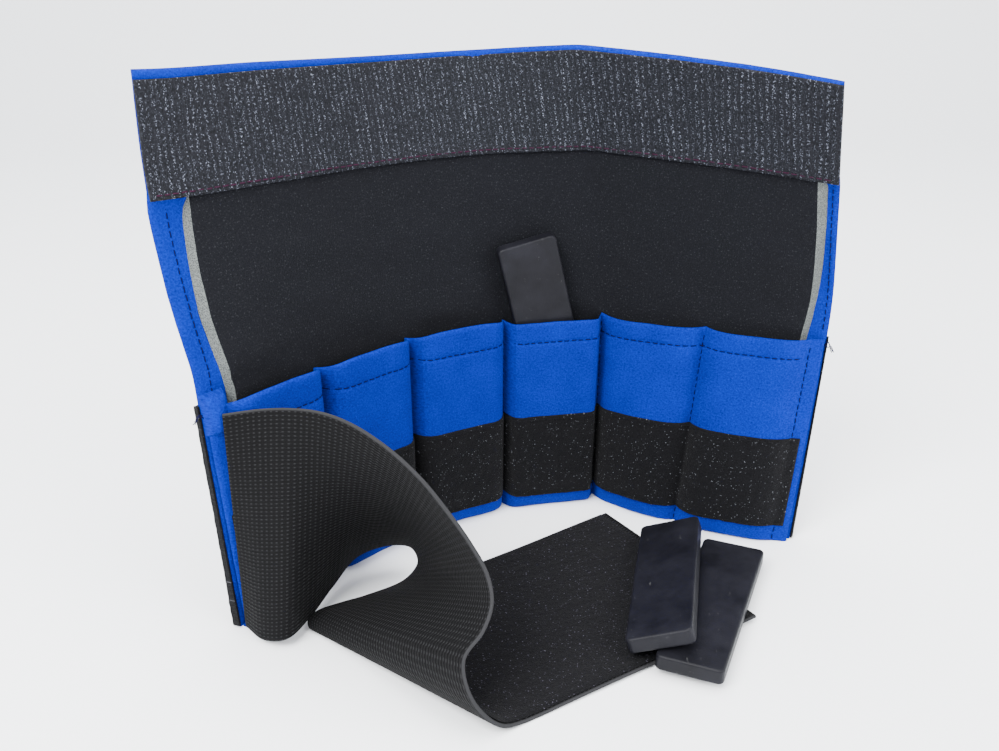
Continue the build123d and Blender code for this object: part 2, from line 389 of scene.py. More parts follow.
class Nodes:
    """Short-hand for building one material's node tree."""

    def __init__(self, name):
        self.material = bpy.data.materials.new(name)
        self.material.use_nodes = True
        self.tree = self.material.node_tree
        self.tree.nodes.clear()
        self.shader = self.add("ShaderNodeBsdfPrincipled")
        self.node("ShaderNodeOutputMaterial", None, {"Surface": (self.shader, "BSDF")})

    def add(self, kind, **settings):
        node = self.tree.nodes.new(kind)
        for key, value in settings.items():
            setattr(node, key, value)
        return node

    def scaled(self, source, output, scale):
        mapping, _ = self.node("ShaderNodeMapping", "Vector", {"Vector": (source, output)})
        mapping.inputs["Scale"].default_value = scale
        return mapping, "Vector"

    def flat(self, scale=(1, 1, 1)):
        """The cloth's own flat coordinates in millimetres, scaled."""
        return self.scaled(self.add("ShaderNodeAttribute", attribute_name="flat"), "Vector", scale)

    def solid(self, scale=(1000, 1000, 1000)):
        """Object coordinates, scaled to millimetres by default."""
        return self.scaled(self.add("ShaderNodeTexCoord"), "Object", scale)

    def feed(self, value, socket):
        """Links a (node, output) pair to a socket, or sets its colour or number."""
        if isinstance(value, tuple) and isinstance(value[0], bpy.types.Node):
            self.tree.links.new(value[0].outputs[value[1]], socket)
        else:
            socket.default_value = (*value, 1.0) if isinstance(value, tuple) else value

    def node(self, kind, output, inputs, **settings):
        """A node with its inputs fed by name or number, as a (node, output) pair."""
        node = self.add(kind, **settings)
        for name, value in inputs.items():
            self.feed(value, node.inputs[name])
        return node, output

    def noise(self, vector, scale, detail=2.0, roughness=0.5):
        inputs = {"Vector": vector, "Scale": scale, "Detail": detail, "Roughness": roughness}
        return self.node("ShaderNodeTexNoise", "Fac", inputs)

    def voronoi(self, vector, scale, randomness=1.0):
        inputs = {"Vector": vector, "Scale": scale, "Randomness": randomness}
        return self.node("ShaderNodeTexVoronoi", "Distance", inputs)

    def math(self, operation, *values):
        return self.node("ShaderNodeMath", "Value", dict(enumerate(values)), operation=operation)

    def ramp(self, value, low, high, start=0.0, end=1.0):
        inputs = {"Value": value, "From Min": low, "From Max": high, "To Min": start, "To Max": end}
        return self.node("ShaderNodeMapRange", "Result", inputs)

    def mix(self, factor, first, second):
        return self.node("ShaderNodeMix", 2, {0: factor, 6: first, 7: second}, data_type="RGBA")

    def bump(self, height, strength, distance):
        inputs = {"Height": height, "Strength": strength, "Distance": distance}
        self.put(self.node("ShaderNodeBump", "Normal", inputs), "Normal")

    def put(self, value, name):
        self.feed(value, self.shader.inputs[name])

    def surface(self, colour, roughness, specular, sheen=0.0):
        """The shader's colour, roughness, specular level and sheen weight."""
        self.put(colour, "Base Color")
        self.put(roughness, "Roughness")
        self.put(specular, "Specular IOR Level")
        self.put(sheen, "Sheen Weight")

    def along_and_across(self, flat):
        """The two flat coordinates apart."""
        separate, _ = self.node("ShaderNodeSeparateXYZ", None, {0: flat})
        return (separate, "X"), (separate, "Y")


def blue_nap(name, deep, bright):
    """Royal blue brushed laminate: fine nap, mottled, with a soft sheen."""
    n = Nodes(name)
    flat = n.flat()
    fibre = n.noise(flat, 1.0, 4.0, 0.8)
    mottle = n.noise(flat, 0.06, 3.0, 0.6)
    tone = n.math("ADD", n.math("MULTIPLY", fibre, 0.85), n.math("MULTIPLY", mottle, 0.15))
    colour = n.mix(n.ramp(tone, 0.36, 0.64), deep, bright)
    n.surface(colour, 0.9, 0.06, 0.05)
    n.put(0.4, "Sheen Roughness")
    n.put((0.05, 0.25, 1.0), "Sheen Tint")
    n.bump(fibre, 0.7, 0.0006)
    return n.material


def jersey(name):
    """Black knitted face of the foam liner, with pale fibre specks."""
    n = Nodes(name)
    flat = n.flat()
    knit = n.voronoi(n.flat((1.0, 0.8, 1.0)), 1.35, 0.75)
    fibre = n.noise(flat, 1.9, 3.0, 0.75)
    speck = n.ramp(n.noise(flat, 1.15, 1.0, 0.5), 0.62, 0.78)
    base = n.mix(n.ramp(fibre, 0.35, 0.7), (0.0015, 0.0016, 0.0024), (0.008, 0.0085, 0.011))
    colour = n.mix(n.math("MULTIPLY", speck, 0.45), base, (0.05, 0.052, 0.058))
    n.surface(colour, 0.95, 0.08, 0.02)
    n.bump(n.math("ADD", fibre, n.math("MULTIPLY", knit, 0.6)), 0.55, 0.0004)
    return n.material


def foam(name):
    """Grey open-cell foam at the liner's cut edge."""
    n = Nodes(name)
    cells = n.voronoi(n.solid(), 1.6, 1.0)
    grain = n.noise(n.solid(), 2.2, 3.0, 0.7)
    colour = n.mix(n.ramp(cells, 0.1, 0.6), (0.03, 0.034, 0.035), (0.12, 0.13, 0.125))
    n.surface(colour, 0.95, 0.1)
    n.bump(n.math("ADD", cells, grain), 0.8, 0.0006)
    return n.material


def hook_tape(name):
    """Black hook tape: columns of hook tips with painted glints on a ribbed woven ground."""
    n = Nodes(name)
    flat = n.flat()
    along, _ = n.along_and_across(flat)
    wander = n.math("MULTIPLY", n.noise(n.flat((1.0, 0.25, 1.0)), 0.12, 2.0, 0.5), 5.0)
    phase = n.math("ADD", n.math("MULTIPLY", along, 2 * math.pi / HOOK_RIB), wander)
    column = n.math("SINE", phase)
    tips = n.voronoi(n.flat((1.0, 0.8, 1.0)), 1.5, 0.9)
    # painted highlight: bright glints on the hook tips, in patches, bands and columns
    painted_glint = n.ramp(tips, 0.22, 0.48, 1.0, 0.0)
    patchy = n.ramp(n.noise(flat, 1.1, 3.0, 0.7), 0.44, 0.60)
    bands = n.ramp(n.noise(n.flat((1.0, 0.06, 1.0)), 0.22, 2.0, 0.6), 0.35, 0.62, 0.35, 1.0)
    strength = n.math("MULTIPLY", n.math("MULTIPLY", painted_glint, patchy), bands)
    strength = n.math("MULTIPLY", strength, n.ramp(column, -0.5, 0.7, 0.12, 1.0))
    weave = n.noise(n.flat((1.0, 0.35, 1.0)), 1.6, 2.0, 0.6)
    base = n.mix(n.ramp(weave, 0.35, 0.7), (0.0015, 0.0016, 0.0025), (0.009, 0.0095, 0.013))
    # the glint mask mixes a pale colour into the base: a painted highlight, not the tape's own colour
    colour = n.mix(strength, base, (0.24, 0.26, 0.33))
    n.surface(colour, n.ramp(strength, 0.0, 1.0, 0.75, 0.4), 0.12)
    relief = n.math("ADD", n.math("MULTIPLY", column, 0.3), n.math("ADD", strength, weave))
    n.bump(relief, 0.6, 0.0005)
    return n.material


def loop_tape(name, speck_tint=(0.22, 0.23, 0.26)):
    """Black fuzzy loop pile with stray pale fibre ends."""
    n = Nodes(name)
    flat = n.flat()
    pile = n.noise(flat, 1.4, 4.0, 0.75)
    coarse = n.noise(flat, 0.35, 2.0, 0.6)
    tips = n.voronoi(flat, 0.8, 1.0)
    speck = n.math("MULTIPLY", n.ramp(tips, 0.10, 0.22, 1.0, 0.0),
                   n.ramp(n.noise(flat, 0.7, 2.0, 0.6), 0.48, 0.62))
    base = n.mix(n.ramp(pile, 0.35, 0.72), (0.0008, 0.0008, 0.001), (0.006, 0.006, 0.0075))
    colour = n.mix(n.math("MULTIPLY", speck, 0.9), base, speck_tint)
    n.surface(colour, 0.9, 0.08, 0.02)
    n.bump(n.math("ADD", pile, n.math("MULTIPLY", coarse, 0.8)), 0.9, 0.0008)
    return n.material


def ribbed_elastic(name):
    """Charcoal woven elastic: rows of small dots along its length, paler selvedges."""
    n = Nodes(name)
    flat = n.flat()
    along, across = n.along_and_across(flat)
    row = n.math("SINE", n.math("MULTIPLY", across, 2 * math.pi / WEB_ROW))
    dot = n.math("SINE", n.math("MULTIPLY", along, 2 * math.pi / WEB_DOT))
    stitch = n.math("MULTIPLY", n.ramp(row, 0.2, 0.9), n.ramp(dot, 0.0, 0.9))
    fibre = n.noise(flat, 1.6, 2.0, 0.6)
    from_middle = n.math("ABSOLUTE", n.math("SUBTRACT", across, STRAP_WIDTH / 2))
    selvedge = n.ramp(from_middle, STRAP_WIDTH / 2 - 1.2, STRAP_WIDTH / 2 - 0.4)
    base = n.mix(fibre, (0.0015, 0.0015, 0.0017), (0.005, 0.005, 0.0053))
    dotted = n.mix(n.math("MULTIPLY", stitch, 0.6), base, (0.026, 0.026, 0.028))
    colour = n.mix(n.math("MULTIPLY", selvedge, 0.7), dotted, (0.03, 0.03, 0.032))
    n.surface(colour, 0.8, 0.05, 0.01)
    relief = n.math("ADD", n.math("MULTIPLY", row, 0.5), n.math("ADD", stitch, fibre))
    n.bump(relief, 0.6, 0.0005)
    return n.material


def bar_coating(name):
    """Satin black coating on steel: fine texture, scuffs and pale chips along the edges."""
    n = Nodes(name)
    solid = n.solid()
    grain = n.noise(solid, 1.2, 3.0, 0.6)
    smudge = n.noise(solid, 0.06, 3.0, 0.6)
    bevel = n.node("ShaderNodeBevel", "Normal", {"Radius": 0.0016}, samples=6)
    facing = (n.add("ShaderNodeNewGeometry"), "Normal")
    dot = n.node("ShaderNodeVectorMath", "Value", {0: bevel, 1: facing}, operation="DOT_PRODUCT")
    edge = n.ramp(dot, 0.995, 0.9)
    chips = n.ramp(n.noise(solid, 0.55, 4.0, 0.7), 0.60, 0.68)
    streaks = n.noise(n.solid((1000, 260, 1000)), 0.35, 4.0, 0.7)
    scuff = n.math("MULTIPLY", n.ramp(streaks, 0.66, 0.74), 0.35)
    wear = n.math("MAXIMUM", n.math("MULTIPLY", edge, chips), scuff)
    base = n.mix(n.ramp(smudge, 0.35, 0.7), (0.0035, 0.0035, 0.005), (0.008, 0.008, 0.011))
    colour = n.mix(wear, base, (0.09, 0.09, 0.088))
    n.surface(colour, n.ramp(smudge, 0.3, 0.7, 0.46, 0.52), 0.12)
    n.bump(grain, 0.25, 0.0002)
    return n.material


def thread(name, colour):
    """Twisted polyester sewing thread."""
    n = Nodes(name)
    twist = n.noise(n.solid(), 3.0, 2.0, 0.6)
    n.surface(n.mix(twist, tuple(c * 0.5 for c in colour), colour), 0.8, 0.08)
    n.bump(twist, 0.4, 0.0002)
    return n.material


BLUE = blue_nap("blue_nap", (0.0, 0.0045, 0.10), (0.0, 0.017, 0.29))
JERSEY = jersey("liner_jersey")
FOAM = foam("cut_foam")
HOOK = hook_tape("hook_tape")
LOOP = loop_tape("loop_tape")
OUTER = loop_tape("outer_loop_tape", (0.08, 0.08, 0.09))
ELASTIC = ribbed_elastic("ribbed_elastic")
TAIL = loop_tape("strap_tail_pile", (0.15, 0.14, 0.19))
COATING = bar_coating("bar_coating")
NAVY = thread("navy_thread", (0.002, 0.002, 0.03))
BLACK = thread("black_thread", (0.006, 0.006, 0.007))
PLUM = thread("plum_thread", (0.03, 0.006, 0.02))

# ---------------------------------------------------------------- the wall's layers
SHELL_BACK = -9.0
SHELL_FRONT = -5.5
SHELL_TOP_SHIFT = 3.9
LINER_FRONT = -1.5
HOOK_BOTTOM = 206.0
HOOK_TOP_LEFT = 254.0
HOOK_TOP_RIGHT = 257.3


def hook_top(u):
    """Height of the hook tape's upper edge: the shell shows more above it at the left."""
    t = np.clip((u - LEFT_END) / (RIGHT_END - LEFT_END), 0, 1)
    return HOOK_TOP_LEFT + (HOOK_TOP_RIGHT - HOOK_TOP_LEFT) * t


def shell_shift(v):
    """How far the shell steps forward above the liner's top edge."""
    t = np.clip((v - 200.0) / 12.0, 0, 1)
    return SHELL_TOP_SHIFT * t * t * (3 - 2 * t)


def build_shell():
    """Blue outer shell: soft rolled rims, faint rumples."""
    thickness = SHELL_FRONT - SHELL_BACK
    u_lines = axis_samples(LEFT_END, RIGHT_END, 3.5, U_CUTS, 2.4)
    v_lines = axis_samples(0.0, TOP_V, 4.0, V_CUTS, 2.4)

    def half(u, v):
        rim = np.minimum.reduce([u - LEFT_END, RIGHT_END - u, v, TOP_V - v])
        roll = 1.1 * np.exp(-(((TOP_V - v) / 5.0) ** 2))
        return (thickness / 2 + roll) * rim_factor(rim, 2.6)

    def middle(u, v):
        rumple = 0.35 * smooth_noise(u, v, 46.0, 3) + 0.12 * smooth_noise(u, v, 17.0, 4)
        return (SHELL_FRONT + SHELL_BACK) / 2 + shell_shift(v) + rumple

    points, faces, flat = sheet(
        u_lines, v_lines, lambda u, v: middle(u, v) + half(u, v), lambda u, v: middle(u, v) - half(u, v)
    )
    cut_and_bind("shell_cloth", points, faces, flat, [BLUE],
                 stems={"seam": "shell_panel", "flap": "shell_flap"})


LINER_BOTTOM = 8.0
LINER_TOP = 208.5
FOAM_BEVEL = 3.6
FOAM_BAND = 5.0  # the outermost grid lines of each side, which show bare foam
SIDE_HEIGHTS = [8, 60, 100, 118, 135, 155, 180, 209]
LEFT_INSETS = [10, 11, 13.5, 14.5, 12.2, 11, 12.8, 16]
RIGHT_INSETS = [10, 11, 11.5, 10.5, 8.2, 6.4, 5.4, 5.6]


def left_side(v):
    """Where the liner's left edge runs, drawn in from the cuff's end."""
    return LEFT_END + np.interp(v, SIDE_HEIGHTS, LEFT_INSETS)


def right_side(v):
    """Where the liner's right edge runs."""
    return RIGHT_END - np.interp(v, SIDE_HEIGHTS, RIGHT_INSETS)


def build_liner():
    """Foam liner with a jersey face and bare grey foam at its cut side edges."""
    u_lines = axis_samples(LEFT_END, RIGHT_END, 3.5, U_CUTS, FOAM_BAND)
    v_lines = axis_samples(LINER_BOTTOM, LINER_TOP, 4.0, V_CUTS, 2.0)
    reach = PITCH / 2 - LEFT_END

    def warp(u, v):
        left = left_side(v) + (u - LEFT_END) * (PITCH / 2 - left_side(v)) / reach
        right = right_side(v) - (RIGHT_END - u) * (right_side(v) - RIGHT_END + reach) / reach
        return np.where(u < PITCH / 2, left, np.where(u > RIGHT_END - reach, right, u)), v

    def front(u, v):
        slope = np.clip(np.minimum(u - left_side(v), right_side(v) - u) / FOAM_BEVEL, 0, 1)
        rumple = 0.3 * smooth_noise(u, v, 30.0, 8) + 0.12 * smooth_noise(u, v, 11.0, 9)
        wrinkle = np.exp(-(((v - 123.0 - 3.0 * np.sin(u / 31.0)) / 2.0) ** 2))
        wrinkle = wrinkle * np.clip(1.2 - u / 150, 0, 1)
        return SHELL_FRONT + 0.15 + (LINER_FRONT - SHELL_FRONT - 0.15 + rumple - 0.9 * wrinkle) * slope

    points, faces, flat = sheet(
        u_lines, v_lines, front, lambda u, v: SHELL_FRONT - 0.4 + shell_shift(v), warp
    )
    columns = len(v_lines)
    line = u_lines[(np.array(faces) % (len(u_lines) * columns)) // columns]
    band = FOAM_BAND + 0.01
    bare = (line.max(axis=1) < LEFT_END + band) | (line.min(axis=1) > RIGHT_END - band)
    cut_and_bind("liner_cloth", points, faces, flat, [JERSEY, FOAM], bare,
                 stems={"seam": "liner_panel", "flap": "liner_flap"})


def build_crease_tongue():
    """Slip of cloth hidden inside the flap at the main seam; it shows only when the cuff opens flat."""
    thickness = 0.9
    u_lines = np.linspace(CREASE - 6.0, CREASE + 6.2, 13)
    v_lines = np.linspace(FOLD_BLEND_TOP, TOP_V - 3.0, 28)

    def front(u, v):
        return -3.6 + shell_shift(v) * 0.7 - np.maximum(u - CREASE, 0.0) * 0.5

    points, faces, flat = sheet(u_lines, v_lines, front, lambda u, v: front(u, v) - thickness)
    normals = vertex_normals(points, faces)
    piece = mesh_object("crease_tongue", points, faces, [JERSEY], None, flat, normals)
    bind(piece, ("flap", 4))


def build_hook_strip():
    """Ribbed hook tape sewn over the top of the liner, right across the flap."""
    start, end = LEFT_END - 0.5, RIGHT_END + 0.5
    u_lines = axis_samples(start, end, 1.0, U_CUTS, 1.0)
    v_lines = axis_samples(HOOK_BOTTOM, HOOK_TOP_LEFT, 2.5, (), 1.0)

    def warp(u, v):
        share = (v - HOOK_BOTTOM) / (HOOK_TOP_LEFT - HOOK_BOTTOM)
        return u, HOOK_BOTTOM + (hook_top(u) - HOOK_BOTTOM) * share

    def front(u, v):
        rim = np.minimum.reduce([u - start, end - u, v - HOOK_BOTTOM, hook_top(u) - v])
        rib = 0.14 * np.sin(u * 2 * math.pi / HOOK_RIB)
        lower = np.clip((HOOK_BOTTOM + 8 - v) / 8, 0, 1)
        rumple = 0.2 * smooth_noise(u, v, 24.0, 12)
        return -0.2 + 0.45 * lower + (0.5 + rib) * rim_factor(rim, 1.2) + rumple

    points, faces, flat = sheet(u_lines, v_lines, front, lambda u, v: front(u, v) - 1.3, warp)
    cut_and_bind("hook_tape", points, faces, flat, [HOOK],
                 stems={"flap": "hook_strip"})


OUTER_BOTTOM = 2.0
OUTER_TOP = 115.5


def build_outer_loop():
    """Loop panel that covers the outside of the pocket row."""
    start, end = LEFT_END - 1.3, RIGHT_END + 1.1
    u_lines = axis_samples(start, end, 2.0, U_CUTS, 1.2)
    v_lines = axis_samples(OUTER_BOTTOM, OUTER_TOP, 2.0, (), 1.0)

    def back(u, v):
        rim = np.minimum.reduce([u - start, end - u, v - OUTER_BOTTOM, OUTER_TOP - v])
        fuzz = 0.16 * smooth_noise(u, v, 5.0, 21) + 0.35 * smooth_noise(u, v, 46.0, 3)
        return SHELL_BACK - 0.2 - 1.3 * rim_factor(rim, 1.2) + fuzz

    def front(u, v):
        beyond = np.maximum(LEFT_END - u, u - RIGHT_END) > 0
        return np.where(beyond, SHELL_FRONT - 0.7, SHELL_BACK + 0.9)

    points, faces, flat = sheet(u_lines, v_lines, front, back)
    cut_and_bind("outer_loop_tape", points, faces, flat, [OUTER], low_only=True,
                 stems={"seam": "outer_loop"})


# ---------------------------------------------------------------- the pockets
MOUTH = 115.0
HEM = 10.0
POCKET_SHEET = 2.2
# How far each pocket stands out, and the power that squares off its belly.
FULLNESS = {1: (13.2, 8), 2: (13.2, 8), 3: (13.2, 8), 4: (13.4, 12), 5: (9.4, 4.2), 6: (9.8, 4.2)}
SEAM_LEVEL = 0.6


def pocket_face(u, v):
    """Height of the pockets' outer face off the wall."""
    u = np.asarray(u, float)
    number = np.clip(np.floor(u / PITCH).astype(int) + 1, 1, 6)
    full, power = np.array([FULLNESS[k] for k in PANELS], float).T[:, number - 1]
    x = np.clip(u - (number - 1) * PITCH, 0, PITCH)
    arch = 1 - np.abs(2 * x / PITCH - 1) ** power
    t = np.clip(v / MOUTH, 0, 1)
    loaded = power > 4
    rise = np.where(loaded, 0.9 + 0.1 * t, 0.62 + 0.38 * t**1.5)
    lip = np.where(loaded, 1.0, 1 + 0.10 * np.clip((t - 0.8) / 0.2, 0, 1))
    tuck = np.clip(v / 9.0, 0, 1)
    rise = rise * (0.62 + 0.38 * (1 - (1 - tuck) ** 2))
    outside = np.clip(np.maximum(-u, u - LAST_SEAM), 0, END_BORDER) / END_BORDER
    level = SEAM_LEVEL - outside * 3.4
    rumple = 0.18 * smooth_noise(u, v, 22.0, 31) * arch
    stitched = -0.55 * np.exp(-((v - (MOUTH - HEM)) / 1.0) ** 2)
    return level + (full - SEAM_LEVEL) * arch * rise * lip + rumple + stitched


def mouth_lift(u):
    """How far each filled pocket's mouth rises between its dividers."""
    u = np.asarray(u, float)
    x = np.clip(np.mod(u, PITCH) / PITCH, 0, 1)
    lift = np.select([(u < 0) | (u > 4 * PITCH), u < PITCH, u < 3 * PITCH], [0.0, 4.8, 4.2], 1.2)
    return lift * (1 - np.abs(2 * x - 1) ** 5)


def build_pockets():
    """The pocket row: one long blue strip, bellied between its divider seams."""
    start, end = LEFT_END + 0.8, RIGHT_END - 0.8
    steps = (-4.2, -2.8, -1.6, -0.7, 0.7, 1.6, 2.8, 4.2)
    extra = [PITCH * k + step for k in range(7) for step in steps]
    extra = [x for x in extra if start + 0.5 < x < end - 0.5]
    u_lines = np.unique(np.concatenate([axis_samples(start, end, 2.8, U_CUTS, 2.0), extra]))
    stitch_rows = [MOUTH - HEM + d for d in (-2.0, -1.0, 0.0, 1.0, 2.0)]
    v_lines = np.unique(np.concatenate([axis_samples(0.6, MOUTH, 3.0, (), 2.2), stitch_rows]))

    def warp(u, v):
        return u, v + mouth_lift(u) * np.clip((v - MOUTH + HEM - 1) / (HEM - 1), 0, 1)

    def thickness(v):
        return POCKET_SHEET + np.where(v > MOUTH - HEM, 0.6, 0.0)

    def face(side):
        def height(u, v):
            rim = np.minimum.reduce([u - start, end - u, MOUTH + mouth_lift(u) - v])
            return pocket_face(u, v) - thickness(v) / 2 * (1 + side * rim_factor(rim, 1.9))

        return height

    points, faces, flat = sheet(u_lines, v_lines, face(-1), face(1), warp)
    cut_and_bind("pocket_cloth", points, faces, flat, [BLUE], low_only=True,
                 stems={"seam": "pocket_front"})


def build_pocket_floor():
    """The fold of cloth that closes the pockets underneath."""
    u_lines = axis_samples(LEFT_END + 1.2, RIGHT_END - 1.2, 2.8, U_CUTS, 1.0)
    depth = np.linspace(0, 1, 5)
    grid_u, grid_t = np.meshgrid(u_lines, depth, indexing="ij")
    front = pocket_face(grid_u, np.full_like(grid_u, 1.0)) - POCKET_SHEET * 0.6
    n = SHELL_FRONT - 0.5 + (front - SHELL_FRONT + 0.5) * grid_t
    low = offset_wall(grid_u, np.full_like(grid_u, 0.4), n).reshape(-1, 3)
    points = np.concatenate([low + np.array([0, 0, 1.5]), low])
    cut_and_bind("pocket_floor_cloth", points, closed_faces(*grid_u.shape), flat_points(grid_u, n),
                 [BLUE], low_only=True)


LOOP_BOTTOM = 9.5
LOOP_TOP = 60.5


def build_loop_strip():
    """Loop tape across the pockets, that follows every belly and valley."""
    start, end = LEFT_END + 3.0, RIGHT_END - 3.5
    u_lines = axis_samples(start, end, 1.4, U_CUTS, 0.8)
    v_lines = axis_samples(LOOP_BOTTOM, LOOP_TOP, 1.8, (), 0.8)

    def front(u, v):
        rim = np.minimum.reduce([u - start, end - u, v - LOOP_BOTTOM, LOOP_TOP - v])
        fuzz = 0.14 * smooth_noise(u, v, 3.6, 41) + 0.1 * smooth_noise(u, v, 9.0, 42)
        return pocket_face(u, v) + 0.1 + 1.25 * rim_factor(rim, 1.3) + fuzz

    points, faces, flat = sheet(u_lines, v_lines, front, lambda u, v: pocket_face(u, v) - 0.5)
    cut_and_bind("loop_tape", points, faces, flat, [LOOP], low_only=True,
                 stems={"seam": "loop_strip"})


# ---------------------------------------------------------------- the strap
STRAP_LOWER_EDGE = [
    (-179.5, -129, 1.2), (-168, -142, 3), (-157.5, -144.5, 5.5), (-149.3, -128.7, 5.8),
    (-140.8, -107, 8.8), (-130, -89.5, 15), (-114, -81.5, 17), (-102, -80.5, 15),
    (-98, -87, 10), (-104, -98, 6.4), (-122, -111.5, 6.4), (-136, -118.5, 6.4),
    (-145, -123.5, 6.2), (-149.5, -128, 5.0), (-148.5, -131.5, 2.8), (-143.5, -129, 1.1),
]
STRAP_UPPER_EDGE = [
    (-182, -119.5, 113), (-165, -120, 115.8), (-150, -123.5, 118), (-136.4, -128.6, 119),
    (-121.8, -136.3, 117.3), (-106, -145.2, 111), (-91, -153.8, 100.6), (-78.6, -162.3, 88.4),
    (-68.3, -170.2, 76.6), (-61, -177.9, 66.2), (-58.8, -185.4, 56.8), (-62.5, -192.8, 48),
    (-70.5, -199, 38), (-67, -204, 21), (-55, -202, 5.0), (-44, -195, 1.1),
]
TAIL_END_FAR = (4.5, -28.0, 1.6)
TAIL_END_NEAR = (70.5, -124.4, 2.6)
STRAP_THICKNESS = 1.9
SPAN_SAMPLES = 7  # samples along the strap for each stretch of its edge curves


def natural_curve(points, samples):
    """Smooth curve through points; sample 2.5 lies half-way from point 2 to point 3."""
    points = np.array(points, float)
    lengths = np.linalg.norm(np.diff(points, axis=0), axis=1)
    knots = np.concatenate([[0], np.cumsum(np.sqrt(lengths))])
    return hermite(points, knots, np.interp(samples, np.arange(len(points)), knots))


def strap_edges():
    """Both edges of the strap from its sewn end to its free end."""
    lower = list(STRAP_LOWER_EDGE)
    upper = list(STRAP_UPPER_EDGE)
    for stop in (0.16, 0.33, 0.5, 0.67, 0.84, 1.0):
        wave = 0.7 * math.sin(stop * 5.0) ** 2 * stop
        for edge, end in ((lower, TAIL_END_FAR), (upper, TAIL_END_NEAR)):
            first = np.array(edge[len(STRAP_LOWER_EDGE) - 1])
            edge.append(tuple(first + (np.array(end) - first) * stop + np.array([0, 0, wave])))
    spans = len(lower) - 1
    samples = np.linspace(0, spans, spans * SPAN_SAMPLES + 1)
    low, high = natural_curve(lower, samples), natural_curve(upper, samples)
    for edge in (low, high):
        edge[:, 2] = np.maximum(edge[:, 2], STRAP_THICKNESS / 2 + 0.05)
    return low + MAIN, high + MAIN


def ribbon(low, high, across, half, shift=0.0):
    """Ribbed face, inner face and normals of a ribbon between two edge curves.

    half is half its thickness; shift moves it along its ribbed face's normal.
    """
    w = (across / STRAP_WIDTH)[None, :, None]
    middle = low[:, None, :] * (1 - w) + high[:, None, :] * w
    normal = np.cross(np.gradient(middle, axis=0), np.gradient(middle, axis=1))
    normal /= np.maximum(np.linalg.norm(normal, axis=2, keepdims=True), 1e-9)
    half = np.atleast_2d(half)[:, :, None]
    return middle + normal * (half + shift), middle + normal * (shift - half), normal


def ribbon_object(name, material, ribbed, inner, along, across):
    """A closed ribbon from its two faces, with its own flat coordinates."""
    points = lift_to_floor(np.concatenate([ribbed.reshape(-1, 3), inner.reshape(-1, 3)]))
    faces = closed_faces(*ribbed.shape[:2])
    flat = flat_points(*np.meshgrid(along, across, indexing="ij"))
    return mesh_object(name, points, faces, [material], None, flat, vertex_normals(points, faces))


def arc_lengths(low, high):
    """Length along the strap at each sample."""
    middle = (low + high) / 2
    return np.concatenate([[0], np.cumsum(np.linalg.norm(np.diff(middle, axis=0), axis=1))])


def bind_strap(piece):
    """Bakes the strap's placement into its mesh; it stays sewn to the cuff at its root."""
    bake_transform(piece)


def build_strap():
    """The elastic web, and the hook face on its tail."""
    low, high = strap_edges()
    along = arc_lengths(low, high)
    across = np.concatenate([[0, 0.25, 0.7, 1.4], np.linspace(2.6, STRAP_WIDTH - 2.6, 60),
                             STRAP_WIDTH - np.array([1.4, 0.7, 0.25, 0])])
    rim = np.minimum(across, STRAP_WIDTH - across)
    rib = 0.05 * np.cos(across * math.pi / WEB_ROW)
    half = STRAP_THICKNESS / 2 * rim_factor(rim, 0.9) + rib * (rim > 2)
    ribbed, inner, _ = ribbon(low, high, across, half)
    web = ribbon_object("strap_ribbon", ELASTIC, ribbed, inner, along, across)
    bind_strap(web)
    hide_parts("strap_web", "strap_tail")
    build_strap_pile(low, high, along)


PILE_INSET = 1.2
PILE_HEIGHT = 1.5
PILE_LEAD = 8  # samples by which the hook face starts before the tail lies flat


def build_strap_pile(low, high, along):
    """Hook face laid on the inner side of the strap's tail."""
    start = (len(STRAP_LOWER_EDGE) - 1) * SPAN_SAMPLES - PILE_LEAD
    low, high, along = low[start:-1], high[start:-1], along[start:-1]
    across = np.linspace(PILE_INSET, STRAP_WIDTH - PILE_INSET, 72)
    rim_w = np.minimum(across - PILE_INSET, STRAP_WIDTH - PILE_INSET - across)
    rim_s = np.minimum(along - along[0], along[-1] - along)
    rim = np.minimum(rim_w[None, :], rim_s[:, None])
    fuzz = 0.12 * smooth_noise(*np.meshgrid(along, across, indexing="ij"), 4.0, 51)
    half = PILE_HEIGHT / 2 * rim_factor(rim, 1.0) + 0.05
    shift = -STRAP_THICKNESS / 2 - PILE_HEIGHT / 2 + 0.15
    ribbed, inner, normal = ribbon(low, high, across, half, shift)
    inner = inner - normal * (fuzz * (rim > 1.0))[:, :, None]
    pile = ribbon_object("strap_pile", TAIL, ribbed, inner, along, across)
    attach(pile, "strap")
    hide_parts("strap_hook")


# ---------------------------------------------------------------- stitching
STITCH = 3.0
STITCH_GAP = 0.9
THREAD_RADIUS = 0.32
FRAY_RADIUS = 0.22
CORNER_HEIGHT = 111.0  # of the pocket row's corners, where threads fray and the tuck is folded
TUCK_END = 4.0
TUCK_HALF_HEIGHT = 10.0
THREAD_SIDES = 6


def tube_faces(rings):
    """Faces of a closed tube of point rings, one ring after another."""
    sides = THREAD_SIDES
    faces = []
    for ring in range(rings - 1):
        for k in range(sides):
            a, b = ring * sides + k, ring * sides + (k + 1) % sides
            faces.append((a, b, b + sides, a + sides))
    faces.append(tuple(reversed(range(sides))))
    faces.append(tuple(range((rings - 1) * sides, rings * sides)))
    return faces


def ring_angles():
    """Angles of the points round a thread."""
    return [2 * math.pi * k / THREAD_SIDES for k in range(THREAD_SIDES)]


